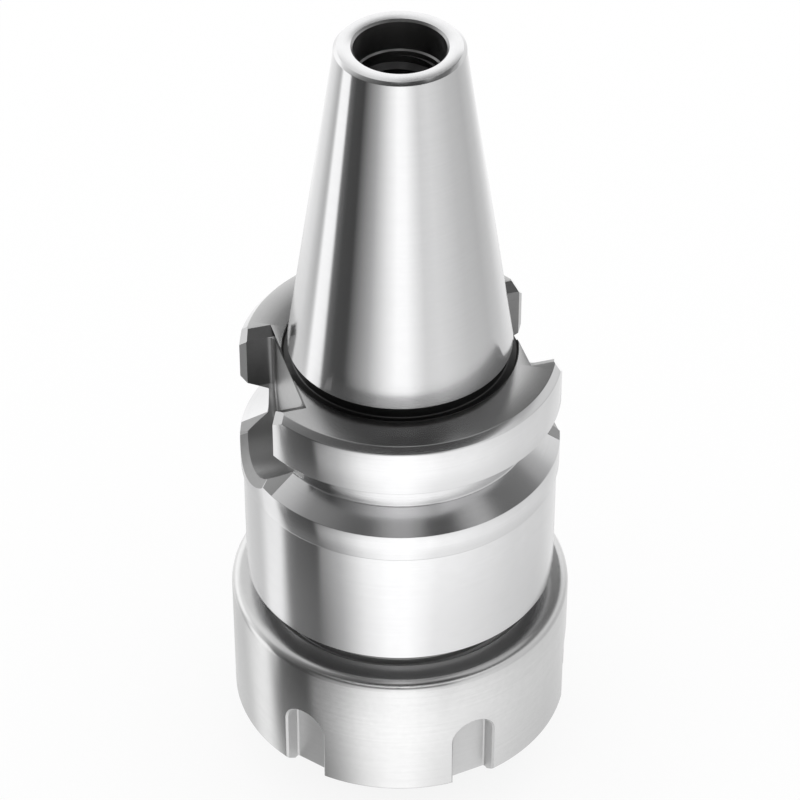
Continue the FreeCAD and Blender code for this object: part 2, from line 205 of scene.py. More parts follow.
# Finishes. The lines run round the axis, as turning and grinding leave them, and worn is how far the
# colour drops in them. Some are darker copies of one steel whose lower colour is painted shade
FINISHES = {
    "bright_ground": dict(colour=(0.74, 0.74, 0.745), roughness=0.13, anisotropy=0.85, line_size=0.22 * MM,
                          line_depth=0.0002 * MM, mottle_size=2.0 * MM, mottle_depth=0.0, worn=0.2),
    # Flange's top face: real facing lines, with a colour set below the ground steel's as painted shade
    "faced_painted_shade": dict(colour=(0.57, 0.57, 0.57), roughness=0.18, anisotropy=0.6, line_size=0.22 * MM,
                  line_depth=0.0002 * MM, mottle_size=2.0 * MM, mottle_depth=0.0, worn=0.2),
    "milled_floor": dict(colour=(0.62, 0.62, 0.62), roughness=0.34, anisotropy=0.3, line_size=0.5 * MM,
                         line_depth=0.0005 * MM, mottle_size=0.8 * MM, mottle_depth=0.001 * MM, worn=0.3),
    # Walls and lead-ins of the keyways: milled like the floor, with a far darker colour that is painted
    # shade
    "milled_wall_painted_shade": dict(colour=(0.20, 0.20, 0.20), roughness=0.30, anisotropy=0.3, line_size=0.5 * MM,
                        line_depth=0.0005 * MM, mottle_size=0.8 * MM, mottle_depth=0.0015 * MM, worn=0.3),
    # Round ends of the keyways: milled steel whose darker colour is painted shade in the hollow end
    "run_out_painted_shade": dict(colour=(0.34, 0.34, 0.34), roughness=0.40, anisotropy=0.2, line_size=0.5 * MM,
                    line_depth=0.0005 * MM, mottle_size=0.8 * MM, mottle_depth=0.001 * MM, worn=0.2,
                    metallic=0.85),
    # Near-black steel as painted shade, for the relief at the taper's foot and the pull stud's thread
    "painted_shade_recess": dict(colour=(0.09, 0.09, 0.09), roughness=0.35, anisotropy=0.4, line_size=0.3 * MM,
                        line_depth=0.001 * MM, mottle_size=1.0 * MM, mottle_depth=0.001 * MM, worn=0.3),
    # Neck, nose, their thread and the nut's lead-in: steel darkened and partly dull as painted shade of the
    # gap
    "gap_painted_shade": dict(colour=(0.42, 0.42, 0.42), roughness=0.30, anisotropy=0.4, line_size=0.3 * MM,
                  line_depth=0.001 * MM, mottle_size=1.0 * MM, mottle_depth=0.001 * MM, worn=0.3,
                  metallic=0.6),
    # Walls that face the axis, the ring and the nut's thread: bored steel with deeper lines, its darker
    # colour painted shade
    "bored_painted_shade": dict(colour=(0.42, 0.42, 0.42), roughness=0.30, anisotropy=0.4, line_size=0.3 * MM,
                  line_depth=0.002 * MM, mottle_size=1.0 * MM, mottle_depth=0.002 * MM, worn=0.4),
    "satin": dict(colour=(0.72, 0.72, 0.72), roughness=0.20, anisotropy=0.75, line_size=0.35 * MM,
                  line_depth=0.0006 * MM, mottle_size=0.9 * MM, mottle_depth=0.0015 * MM, worn=0.25),
    "slotted": dict(colour=(0.60, 0.60, 0.60), roughness=0.40, anisotropy=0.2, line_size=0.5 * MM,
                    line_depth=0.0005 * MM, mottle_size=0.8 * MM, mottle_depth=0.001 * MM, worn=0.2,
                    metallic=0.7),
    "spring": dict(colour=(0.60, 0.60, 0.61), roughness=0.30, anisotropy=0.6, line_size=0.3 * MM,
                   line_depth=0.001 * MM, mottle_size=1.0 * MM, mottle_depth=0.001 * MM, worn=0.3),
}
LINE_NOISE = {"Scale": 1.0, "Detail": 4.0, "Roughness": 0.65}
MOTTLE_NOISE = {"Detail": 3.0, "Roughness": 0.55}
LINE_DRIFT = (60.0, 43.0)
LINE_WEAR = 0.6
MOTTLE_WEAR = 0.4
WEAR_RANGE = (0.3, 0.7)
WORN_COLOUR = 0.8
ROUGHNESS_RANGE = (1.12, 0.9)
QUARTER_TURN = 0.25

# Sockets of a mix node that take and give a colour
MIX_FIRST = 6
MIX_SECOND = 7
MIX_RESULT = 2

# The photo's camera, and the turn of the part under it
PHOTO_TURN = math.radians(16.5)
CAMERA_DISTANCE = 379.45 * MM
CAMERA_HEIGHT = 301.74 * MM
CAMERA_PITCH = math.radians(39.588)
CAMERA_LENS = 155.27
SENSOR_WIDTH = 36.0
CLIP_NEAR = 0.01
CLIP_FAR = 10.0

# Floor, low enough for the unscrewed nut
FLOOR_SIZE = 3.0
FLOOR_GAP = 0.2 * MM
FLOOR_GLOW = 0.8
WHITE = (1.0, 1.0, 1.0, 1.0)

# Screens of the studio, in bands from the floor up. A band begins at one height of a direction (level 0,
# straight up 1) and has replaced the one below at the next. Its shades are (degrees, shade), with 0
# degrees at the camera and positive ones to its right
SCREEN_STRENGTH = 1.4
SCREENS = [
    # Straight down
    (-1.0, -1.0, [
        (-180, 0.45), (180, 0.45),
    ]),
    # Mirrored by the nut's side
    (-0.96, -0.90, [
        (-180, 0.66), (-155, 0.54), (-128, 0.50), (-118, 0.80), (-104, 0.78), (-98, 0.50), (-93, 0.17),
        (-65, 0.12), (-45, 0.36), (-27, 0.73), (-9, 0.96), (6, 0.98), (27, 0.75), (45, 0.71), (90, 0.58),
        (125, 0.50), (155, 0.52), (180, 0.66),
    ]),
    # Mirrored by the flange's rim and the body
    (-0.694, -0.686, [
        (-180, 0.64), (-150, 0.53), (-128, 0.49), (-117, 0.72), (-99, 0.78), (-93, 0.18), (-82, 0.09),
        (-63, 0.06), (-60, 0.28), (-45, 0.50), (-27, 0.93), (-18, 1.02), (22, 1.02), (30, 0.95), (60, 0.81),
        (90, 0.66), (130, 0.58), (180, 0.66),
    ]),
    # Mirrored by the taper
    (-0.585, -0.545, [
        (-180, 0.90), (-155, 0.75), (-129, 0.65), (-111, 0.40), (-107, 0.48), (-103, 0.92), (-86, 0.89),
        (-83, 0.14), (-72, 0.06), (-57, 0.05), (-52, 0.12), (-33, 0.36), (-15, 0.76), (-3, 0.97), (7, 0.95),
        (22, 0.68), (27, 0.61), (42, 0.64), (57, 0.58), (75, 0.49), (105, 0.42), (128, 0.50), (155, 0.72),
        (180, 0.92),
    ]),
    # Mirrored by rounded edges
    (-0.10, 0.15, [
        (-180, 0.88), (-114, 0.93), (-106, 0.72), (-90, 0.43), (-86, 0.22), (-75, 0.13), (-55, 0.06),
        (-20, 0.05), (28, 0.10), (33, 0.30), (38, 0.45), (60, 0.50), (126, 0.58), (180, 0.88),
    ]),
    # Mirrored by chamfers, and by the taper's foot by way of the flange
    (0.40, 0.47, [
        (-180, 0.98), (-150, 0.85), (-118, 0.66), (-98, 0.42), (-90, 0.25), (-83, 0.18), (-65, 0.11),
        (-50, 0.20), (-33, 0.55), (-15, 1.20), (7, 1.50), (22, 1.10), (42, 1.00), (60, 0.80), (90, 0.40),
        (115, 0.30), (135, 0.45), (160, 0.85), (180, 0.98),
    ]),
    # Mirrored by flat faces
    (0.565, 0.58, [
        (-180, 0.54), (-150, 0.66), (-118, 0.66), (-98, 0.42), (-90, 0.27), (-83, 0.18), (-65, 0.11),
        (-45, 0.07), (0, 0.045), (36, 0.045), (60, 0.07), (90, 0.11), (120, 0.16), (150, 0.12), (172, 0.13),
        (180, 0.18),
    ]),
    # Mirrored by the nut's round rear edge
    (0.79, 0.82, [
        (-180, 0.50), (-110, 0.42), (-98, 0.30), (-85, 0.20), (-60, 0.12), (-38, 0.08), (-13, 0.04),
        (36, 0.04), (56, 0.06), (66, 0.25), (76, 0.36), (115, 0.40), (180, 0.30),
    ]),
    # Mirrored by the groove's lower flank
    (0.92, 0.955, [
        (-180, 0.45), (-110, 0.30), (-96, 0.12), (-60, 0.09), (-48, 0.14), (-36, 0.22), (-24, 0.38),
        (-10, 0.48), (12, 0.48), (28, 0.38), (36, 0.20), (57, 0.15), (64, 0.33), (72, 0.40), (180, 0.42),
    ]),
]


def taper_radius(z):
    """Radius of the steep taper at a height above the gauge circle."""
    return GAUGE_RADIUS - TAPER_RATE * z


def collet_cone(z):
    """Radius of the collet's long cone at a height."""
    return COLLET_RADIUS - COLLET_SLOPE * (z - LAND_END)


# Node trees

def add(tree, kind, inputs=None, **settings):
    """One node, with its settings, and with a value or a link for each named or numbered input."""
    node = tree.nodes.new(kind)
    for key, value in settings.items():
        setattr(node, key, value)
    for key, value in (inputs or {}).items():
        socket = node.inputs[key]
        if isinstance(value, bpy.types.NodeSocket):
            tree.links.new(value, socket)
        else:
            socket.default_value = value
    return node


def calculate(tree, operation, *values):
    """Output of one math node."""
    kind = "ShaderNodeMath"
    return add(tree, kind, dict(enumerate(values)), operation=operation).outputs[0]


def ranged(tree, value, from_range, to_range):
    """A value moved from one range to another, and held at its ends."""
    inputs = dict(enumerate((value, *from_range, *to_range)))
    return add(tree, "ShaderNodeMapRange", inputs).outputs["Result"]


def mixed(tree, share, first, second):
    """A colour between two others."""
    inputs = {"Factor": share, MIX_FIRST: first, MIX_SECOND: second}
    return add(tree, "ShaderNodeMix", inputs, data_type="RGBA").outputs[MIX_RESULT]


def new_shape_tree(name, sockets):
    """Empty tree of geometry nodes with the named inputs, and its input node."""
    tree = bpy.data.node_groups.new(name, "GeometryNodeTree")
    tree.interface.new_socket("Geometry", in_out="OUTPUT", socket_type="NodeSocketGeometry")
    for label, kind in sockets:
        tree.interface.new_socket(label, in_out="INPUT", socket_type="NodeSocket" + kind)
    return tree, tree.nodes.new("NodeGroupInput").outputs


def end_shape_tree(tree, geometry, finish):
    """Last nodes of a tree: real geometry, its material and the output."""
    real = add(tree, "GeometryNodeRealizeInstances", {"Geometry": geometry}).outputs[0]
    dressed = add(tree, "GeometryNodeSetMaterial", {"Geometry": real, "Material": finish}).outputs[0]
    add(tree, "NodeGroupOutput", {0: dressed})


def make_turning_tree():
    """Turns a half section about the axis, then cuts the same slots into it at equal steps."""
    tree, given = new_shape_tree("turned and slotted", [
        ("Section", "Geometry"), ("Segments", "Int"), ("Slots", "Int"), ("First angle", "Float"),
        ("Finish", "Material"),
    ] + [(cutter, "Object") for cutter in CUTTER_INPUTS])
    place = add(tree, "ShaderNodeSeparateXYZ", {0: add(tree, "GeometryNodeInputPosition").outputs[0]})
    flat = add(tree, "ShaderNodeCombineXYZ", {
        "X": calculate(tree, "SUBTRACT", place.outputs["X"], GAUGE_RADIUS),
        "Y": calculate(tree, "MULTIPLY", place.outputs["Z"], -1.0),
    })
    laid = add(tree, "GeometryNodeSetPosition", {"Geometry": given["Section"], "Position": flat.outputs[0]})
    profile = add(tree, "GeometryNodeMeshToCurve", {"Mesh": laid.outputs[0]})
    circle = add(tree, "GeometryNodeCurvePrimitiveCircle",
                 {"Resolution": given["Segments"], "Radius": GAUGE_RADIUS})
    upright = add(tree, "GeometryNodeSetCurveNormal", {"Curve": circle.outputs[0]}, mode="Z_UP")
    blank = add(tree, "GeometryNodeCurveToMesh",
                {"Curve": upright.outputs[0], "Profile Curve": profile.outputs[0]})
    points = add(tree, "GeometryNodePoints", {"Count": given["Slots"]})
    step = calculate(tree, "DIVIDE", 2.0 * math.pi, given["Slots"])
    turn = calculate(tree, "MULTIPLY_ADD", add(tree, "GeometryNodeInputIndex").outputs[0], step,
                     given["First angle"])
    rotation = add(tree, "FunctionNodeAxisAngleToRotation", {"Axis": (0, 0, 1), "Angle": turn})
    cut = add(tree, "GeometryNodeMeshBoolean", {"Mesh 1": blank.outputs[0]},
              operation="DIFFERENCE", solver="MANIFOLD")
    for cutter in CUTTER_INPUTS:
        shape = add(tree, "GeometryNodeObjectInfo", {"Object": given[cutter]})
        placed = add(tree, "GeometryNodeInstanceOnPoints", {
            "Points": points.outputs[0], "Instance": shape.outputs["Geometry"],
            "Rotation": rotation.outputs[0],
        })
        real = add(tree, "GeometryNodeRealizeInstances", {"Geometry": placed.outputs[0]})
        tree.links.new(real.outputs[0], cut.inputs["Mesh 2"])
    end_shape_tree(tree, cut.outputs[0], given["Finish"])
    return tree


def make_thread_tree():
    """Right-hand thread ridge: a trapezoid swept up a helix, which fades into its wall at both ends."""
    tree, given = new_shape_tree("thread ridge", [
        ("Wall radius", "Float"), ("Start", "Float"), ("Turns", "Float"), ("Pitch", "Float"),
        ("Depth", "Float"), ("Root width", "Float"), ("Crest width", "Float"), ("Outwards", "Float"),
        ("Phase", "Float"), ("Finish", "Material"),
    ])
    height = calculate(tree, "MULTIPLY", given["Turns"], given["Pitch"])
    spiral = add(tree, "GeometryNodeCurveSpiral", {
        "Resolution": THREAD_SEGMENTS, "Rotations": given["Turns"], "Start Radius": given["Wall radius"],
        "End Radius": given["Wall radius"], "Height": height, "Reverse": True,
    })
    shift = add(tree, "ShaderNodeCombineXYZ", {"Z": given["Start"]})
    turn = add(tree, "ShaderNodeCombineXYZ", {"Z": given["Phase"]})
    raised = add(tree, "GeometryNodeTransform", {
        "Geometry": spiral.outputs[0], "Translation": shift.outputs[0], "Rotation": turn.outputs[0],
    })
    upright = add(tree, "GeometryNodeSetCurveNormal", {"Curve": raised.outputs[0]}, mode="Z_UP")
    along = add(tree, "GeometryNodeSplineParameter").outputs["Factor"]
    from_ends = calculate(tree, "MINIMUM", along, calculate(tree, "SUBTRACT", 1.0, along))
    turns_from_end = calculate(tree, "MULTIPLY", from_ends, given["Turns"])
    fade = ranged(tree, turns_from_end, (0.0, THREAD_FADE_TURNS), (THREAD_FADE_SCALE, 1.0))
    section = add(tree, "GeometryNodeCurvePrimitiveQuadrilateral", {
        "Height": given["Depth"], "Bottom Width": given["Root width"], "Top Width": given["Crest width"],
        "Offset": 0.0,
    }, mode="TRAPEZOID")
    quarter = calculate(tree, "MULTIPLY", given["Outwards"], -math.pi / 2.0)
    lean = add(tree, "ShaderNodeCombineXYZ", {"Z": quarter})
    half_depth = calculate(tree, "MULTIPLY", calculate(tree, "MULTIPLY", given["Depth"], 0.5),
                           given["Outwards"])
    stand = add(tree, "ShaderNodeCombineXYZ", {"X": half_depth})
    leant = add(tree, "GeometryNodeTransform", {
        "Geometry": section.outputs[0], "Rotation": lean.outputs[0], "Translation": stand.outputs[0],
    })
    ridge = add(tree, "GeometryNodeCurveToMesh", {
        "Curve": upright.outputs[0], "Profile Curve": leant.outputs[0], "Scale": fade, "Fill Caps": True,
    })
    end_shape_tree(tree, ridge.outputs[0], given["Finish"])
    return tree


# Meshes

def point_outwards(work):
    """Turns all faces of a mesh under work outwards."""
    bmesh.ops.recalc_face_normals(work, faces=work.faces)


def reworked(mesh, *steps):
    """Passes a mesh through steps of mesh work."""
    work = bmesh.new()
    work.from_mesh(mesh)
    for step in steps:
        step(work)
    work.to_mesh(mesh)
    work.free()


def smooth_between_edges(mesh):
    """Smooth shading that stops at sharp edges."""
    for polygon in mesh.polygons:
        polygon.use_smooth = True
    mesh.set_sharp_from_angle(angle=SHARP_ANGLE)


def new_object(name, vertices, faces=(), edges=()):
    """Object at the origin from lists of places, faces and edges."""
    mesh = bpy.data.meshes.new(name)
    mesh.from_pydata(vertices, edges, faces)
    made = bpy.data.objects.new(name, mesh)
    bpy.context.scene.collection.objects.link(made)
    return made


def solid(name, vertices, faces):
    """Object whose faces point outwards."""
    made = new_object(name, vertices, faces)
    reworked(made.data, point_outwards)
    return made


def grown(name, base, tree, values):
    """Finished piece that a tree makes from a base object, as a plain mesh at the origin."""
    modifier = base.modifiers.new(tree.name, "NODES")
    modifier.node_group = tree
    for item in tree.interface.items_tree:
        if item.in_out == "INPUT" and item.name in values:
            modifier[item.identifier] = values[item.name]
    graph = bpy.context.evaluated_depsgraph_get()
    mesh = bpy.data.meshes.new_from_object(base.evaluated_get(graph), depsgraph=graph)
    base.modifiers.remove(modifier)
    bpy.data.objects.remove(base)
    mesh.name = name
    mesh.materials.clear()
    mesh.materials.append(values["Finish"])
    reworked(
        mesh,
        lambda work: bmesh.ops.remove_doubles(work, verts=work.verts, dist=MERGE_DISTANCE),
        point_outwards,
    )
    smooth_between_edges(mesh)
    piece = bpy.data.objects.new(name, mesh)
    bpy.context.scene.collection.objects.link(piece)
    return piece


# Sections, cutters and pieces

def rounded(corners):
    """Points of a closed section whose corners (radius, z, rounding) are rounded by arcs."""
    points = []
    for index, (radius, z, rounding) in enumerate(corners):
        corner = Vector((radius, z))
        before = Vector(corners[index - 1][:2]) - corner
        after = Vector(corners[(index + 1) % len(corners)][:2]) - corner
        if rounding <= 0.0:
            points.append(corner)
            continue
        half_angle = before.angle(after) / 2.0
        middle = (before.normalized() + after.normalized()).normalized()
        centre = corner + middle * (rounding / math.sin(half_angle))
        start = corner + before.normalized() * (rounding / math.tan(half_angle)) - centre
        end = corner + after.normalized() * (rounding / math.tan(half_angle)) - centre
        sweep = start.angle_signed(end)
        for step in range(CORNER_STEPS + 1):
            turn = -sweep * step / CORNER_STEPS
            cosine, sine = math.cos(turn), math.sin(turn)
            arm = Vector((start.x * cosine - start.y * sine, start.x * sine + start.y * cosine))
            points.append(centre + arm)
    return points


def turned(name, corners, cutters, slots, first_angle, finish):
    """Piece turned from its half section, with the cutters' slots cut at equal steps."""
    points = rounded(corners)
    count = len(points)
    section = new_object(name + "_section", [(point.x, 0.0, point.y) for point in points],
                         edges=[(index, (index + 1) % count) for index in range(count)])
    values = {"Segments": TURNED_SEGMENTS, "Slots": slots, "First angle": first_angle, "Finish": finish}
    values.update(zip(CUTTER_INPUTS, cutters))
    piece = grown(name, section, TURNING_TREE, values)
    for cutter in cutters:
        bpy.data.objects.remove(cutter)
    return piece


def thread(name, wall_radius, start, turns, pitch, depth, outwards, phase, finish):
    """Thread ridge on a wall, outwards 1 for a bolt's and -1 for a nut's."""
    base = new_object(name + "_base", [(0.0, 0.0, 0.0)])
    return grown(name, base, THREAD_TREE, {
        "Wall radius": wall_radius - outwards * SMALL_EDGE, "Start": start, "Turns": turns,
        "Pitch": pitch, "Depth": depth + SMALL_EDGE, "Root width": pitch * THREAD_ROOT_SHARE,
        "Crest width": pitch * THREAD_CREST_SHARE, "Outwards": float(outwards), "Phase": phase,
        "Finish": finish,
    })


def slot_cutter(name, half_width, floor, rim_radius, open_z, arc_centre, corner, bevel):
    """Arched slot on +X whose mouth widens by a bevel that follows the round rim it is cut into."""
    down = 1.0 if open_z > arc_centre else -1.0

    def ring(grow, depth_at):
        """Places around the slot's outline, grown sideways, at a depth given by depth_at(y)."""
        reach = half_width + grow
        outline = [(-reach, open_z)]
        for step in range(ARCH_STEPS + 1):
            angle = math.pi * step / ARCH_STEPS
            outline.append((-reach * math.cos(angle), arc_centre - down * reach * math.sin(angle)))
        outline.append((reach, open_z))
        return [(depth_at(y), y, z) for y, z in outline]

    rings = []
    for step in range(CORNER_STEPS + 1):
        angle = math.pi / 2.0 * step / CORNER_STEPS
        depth = floor + corner * (1.0 - math.cos(angle))
        rings.append(ring(corner * (math.sin(angle) - 1.0), lambda y, depth=depth: depth))
    rings.append(ring(0.0, lambda y: math.sqrt((rim_radius - bevel) ** 2 - y * y)))
    rings.append(ring(bevel, lambda y: math.sqrt(rim_radius ** 2 - y * y)))
    rings.append(ring(bevel + CUTTER_SPARE, lambda y: rim_radius + CUTTER_SPARE))
    size = len(rings[0])
    vertices = [place for places in rings for place in places]
    faces = []
    for row in range(len(rings) - 1):
        low, high = row * size, (row + 1) * size
        for index in range(size):
            following = (index + 1) % size
            faces.append((low + index, low + following, high + following, high + index))
    faces.append(tuple(range(size - 1, -1, -1)))
    faces.append(tuple(range((len(rings) - 1) * size, len(rings) * size)))
    return solid(name, vertices, faces)


def prism(name, ends, section, place):
    """Solid between two ends, with the four corners of its section placed by place(end, first, second)."""
    vertices = [place(end, first, second) for end in ends for first, second in section]
    faces = [(0, 1, 2, 3), (7, 6, 5, 4), (0, 4, 5, 1), (1, 5, 6, 2), (2, 6, 7, 3), (3, 7, 4, 0)]
    return solid(name, vertices, faces)


def keyway_lead_in():
    """Wedge that slopes the flange's top face down to both walls of a keyway."""
    half = KEYWAY_WIDTH / 2.0
    wide = half + 2.0 * KEYWAY_LEAD_WIDTH
    low = FLANGE_TOP - KEYWAY_LEAD_DEPTH
    high = FLANGE_TOP + KEYWAY_LEAD_DEPTH
    section = [(-half, low), (half, low), (wide, high), (-wide, high)]
    ends = (KEYWAY_FLOOR, FLANGE_RADIUS + CUTTER_SPARE)
    return prism("keyway_lead_in", ends, section, lambda x, y, z: (x, y, z))


def keyway_tip_bevel():
    """Wedge that takes off the flange's sharp upper tips on both sides of a keyway."""
    near = math.sqrt(FLANGE_RADIUS ** 2 - (KEYWAY_WIDTH / 2.0) ** 2) - KEYWAY_TIP_BEVEL_WIDTH
    far = FLANGE_RADIUS + CUTTER_SPARE
    low = FLANGE_TOP - (far - near) * KEYWAY_TIP_BEVEL_HEIGHT / KEYWAY_TIP_BEVEL_WIDTH
    high = FLANGE_TOP + CUTTER_SPARE
    section = [(near, FLANGE_TOP), (far, low), (far, high), (near, high)]
    ends = (-FLANGE_RADIUS, FLANGE_RADIUS)
    return prism("keyway_tip_bevel", ends, section, lambda y, x, z: (x, y, z))


def shank_corners():
    """Section corners of the shank and the relief at its foot, from the bore's mouth outwards."""
    chamfer_z = SHANK_LENGTH - SHANK_END_CHAMFER
    foot_radius = taper_radius(-TAPER_FOOT_DROP)
    relief_floor = FLANGE_TOP - RELIEF_DEPTH
    return [
        (PILOT_RADIUS + BORE_MOUTH_CHAMFER, SHANK_LENGTH, SMALL_EDGE),
        (taper_radius(SHANK_LENGTH) - SHANK_END_CHAMFER, SHANK_LENGTH, EDGE),
        (taper_radius(chamfer_z), chamfer_z, EDGE),
        (foot_radius, -TAPER_FOOT_DROP, EDGE),
        (RELIEF_RADIUS, -TAPER_FOOT_DROP - (foot_radius - RELIEF_RADIUS), EDGE),
        (RELIEF_RADIUS, relief_floor, SOFT_EDGE),
        (RELIEF_OUTER_RADIUS, relief_floor, SOFT_EDGE),
        (RELIEF_OUTER_RADIUS, FLANGE_TOP, RELIEF_RIM_ROUND),
    ]


def flange_and_body_corners():
    """Section corners of the flange, its groove and the body."""
    half_bottom = GROOVE_BOTTOM_WIDTH / 2.0
    half_mouth = half_bottom + (FLANGE_RADIUS - GROOVE_BOTTOM_RADIUS) * GROOVE_SLOPE
    return [
        (FLANGE_RADIUS - FLANGE_TOP_CHAMFER, FLANGE_TOP, FLANGE_TOP_ROUND),
        (FLANGE_RADIUS, FLANGE_TOP - FLANGE_TOP_CHAMFER, ROUND_EDGE),
        (FLANGE_RADIUS, GROOVE_CENTRE + half_mouth, EDGE),
        (GROOVE_BOTTOM_RADIUS, GROOVE_CENTRE + half_bottom, ROUND_EDGE),
        (GROOVE_BOTTOM_RADIUS, GROOVE_CENTRE - half_bottom, ROUND_EDGE),
        (FLANGE_RADIUS, GROOVE_CENTRE - half_mouth, EDGE),
        (FLANGE_RADIUS, FLANGE_END + FLANGE_END_STEP, FAIR_EDGE),
        (BODY_RADIUS, FLANGE_END, 0.0),
        (BODY_RADIUS, BODY_END + BODY_END_CHAMFER, EDGE),
        (BODY_RADIUS - BODY_END_CHAMFER, BODY_END, EDGE),
    ]


def nose_and_bore_corners():
    """Section corners of the neck, the nose, the collet's socket and the bores, back to the mouth."""
    nose_core = NOSE_THREAD_RADIUS - NOSE_THREAD_DEPTH
    socket_end = COLLET_REAR + SOCKET_SPARE_DEPTH
    mouth = collet_cone(NOSE_END) + SOCKET_CLEARANCE
    thread_end = PILOT_FLOOR - STUD_THREAD_LENGTH
    root_step = STUD_THREAD_RADIUS - TAP_RADIUS
    drill_top = TOOL_BORE_TOP + (TOOL_BORE_RADIUS - TAP_RADIUS) / DRILL_SLOPE
    return [
        (NECK_RADIUS, BODY_END, SOFT_EDGE),
        (NECK_RADIUS, BODY_END - NECK_LENGTH, 0.0),
        (nose_core, BODY_END - NECK_LENGTH - (nose_core - NECK_RADIUS), 0.0),
        (nose_core, NOSE_END + NOSE_CHAMFER, 0.0),
        (nose_core - NOSE_CHAMFER, NOSE_END, EDGE),
        (mouth + SOCKET_MOUTH_CHAMFER, NOSE_END, EDGE),
        (mouth - COLLET_SLOPE * SOCKET_MOUTH_CHAMFER, NOSE_END + SOCKET_MOUTH_CHAMFER, EDGE),
        (collet_cone(socket_end) + SOCKET_CLEARANCE, socket_end, EDGE),
        (TOOL_BORE_RADIUS, socket_end, EDGE),
        (TOOL_BORE_RADIUS, TOOL_BORE_TOP, 0.0),
        (TAP_RADIUS, drill_top, 0.0),
        (TAP_RADIUS, thread_end - root_step, 0.0),
        (STUD_THREAD_RADIUS, thread_end, 0.0),
        (STUD_THREAD_RADIUS, PILOT_FLOOR - PILOT_FLOOR_CONE, 0.0),
        (PILOT_RADIUS, PILOT_FLOOR, 0.0),
        (PILOT_RADIUS, SHANK_LENGTH - BORE_MOUTH_CHAMFER, SMALL_EDGE),
    ]


def make_holder(finish):
    """Shank, flange, body and nose with both keyways."""
    corners = shank_corners() + flange_and_body_corners() + nose_and_bore_corners()
    keyway = slot_cutter("keyway", KEYWAY_WIDTH / 2.0, KEYWAY_FLOOR, FLANGE_RADIUS, SHANK_LENGTH,
                         KEYWAY_ARC_CENTRE, KEYWAY_CORNER, KEYWAY_BEVEL)
    cutters = [keyway, keyway_lead_in(), keyway_tip_bevel()]
    return turned("shank_flange_and_body", corners, cutters, KEYWAY_COUNT, 0.0, finish)


def make_nut(finish):
    """Clamping nut with its wrench slots and seat."""
    wall = NOSE_THREAD_RADIUS + NUT_THREAD_CLEARANCE
    relief = NOSE_THREAD_RADIUS + NUT_RELIEF_DEPTH
    thread_end = NOSE_END - NUT_THREAD_RUN_OUT
    relief_end = thread_end - NUT_RELIEF_LENGTH
    collar = COLLET_RADIUS + NUT_COLLAR_CLEARANCE
    ring_rear = COLLET_GROOVE_START + RING_GAP + RING_LENGTH
    lip_room = COLLET_LIP_RADIUS + RING_GAP
    offset = COLLET_SEAT_CLEARANCE / math.cos(COLLET_SEAT_ANGLE)

    def seat(radius):
        """Height of the cone seat at a radius."""
        return COLLET_FRONT + (radius - offset - COLLET_FACE_RADIUS) / COLLET_SEAT_SLOPE

    corners = [
        (NUT_RADIUS, NUT_REAR, NUT_REAR_ROUND),
        (NUT_RADIUS, NUT_FRONT + NUT_FRONT_CHAMFER_AXIAL, ROUND_EDGE),
        (NUT_RADIUS - NUT_FRONT_CHAMFER_RADIAL, NUT_FRONT, EDGE),
        (NUT_MOUTH_RADIUS + NUT_MOUTH_CHAMFER, NUT_FRONT, EDGE),
        (NUT_MOUTH_RADIUS, NUT_FRONT + NUT_MOUTH_CHAMFER, SMALL_EDGE),
        (NUT_MOUTH_RADIUS, seat(NUT_MOUTH_RADIUS), 0.0),
        (lip_room, seat(lip_room), 0.0),
        (lip_room, ring_rear, 0.0),
        (collar, ring_rear, 0.0),
        (collar, relief_end, 0.0),
        (relief, relief_end, EDGE),
        (relief, thread_end, EDGE),
        (wall, thread_end + (relief - wall), 0.0),
        (wall, NUT_REAR - NUT_THREAD_LEAD_IN, 0.0),
        (wall + NUT_THREAD_LEAD_IN, NUT_REAR, EDGE),
    ]
    slot = slot_cutter("wrench_slot", SLOT_WIDTH / 2.0, SLOT_FLOOR, NUT_RADIUS, NUT_FRONT - CUTTER_SPARE,
                       SLOT_ARC_CENTRE, SLOT_CORNER, SLOT_BEVEL)
    return turned("castle_nut", corners, [slot], SLOT_COUNT, SLOT_ANGLE, finish)


def make_extraction_ring(finish):
    """Eccentric ring in the nut, parted at +X and thickest at -X, that pulls on the collet's groove."""
    low = COLLET_GROOVE_START + RING_GAP
    high = low + RING_LENGTH
    lip_room = COLLET_LIP_RADIUS + RING_GAP
    outer = lip_room + SMALL_EDGE
    hole = (lip_room + RING_BITE_RADIUS) / 2.0
    offset = (lip_room - RING_BITE_RADIUS) / 2.0
    vertices = []
    for step in range(RING_SEGMENTS + 1):
        angle = 2.0 * math.pi * step / RING_SEGMENTS
        inner = offset * math.cos(angle) + math.sqrt(hole ** 2 - (offset * math.sin(angle)) ** 2)
        for radius, z in ((outer, low), (outer, high), (inner, high), (inner, low)):
            vertices.append((radius * math.cos(angle), radius * math.sin(angle), z))
    faces = []
    for here in range(0, 4 * RING_SEGMENTS, 4):
        for side in range(4):
            first, second = here + side, here + (side + 1) % 4
            faces.append((first, second, second + 4, first + 4))
    last = 4 * RING_SEGMENTS
    faces.append((0, 1, 2, 3))
    faces.append((last + 3, last + 2, last + 1, last))
    ring = solid("extraction_ring", vertices, faces)
    smooth_between_edges(ring.data)
    ring.data.materials.append(finish)
    return ring


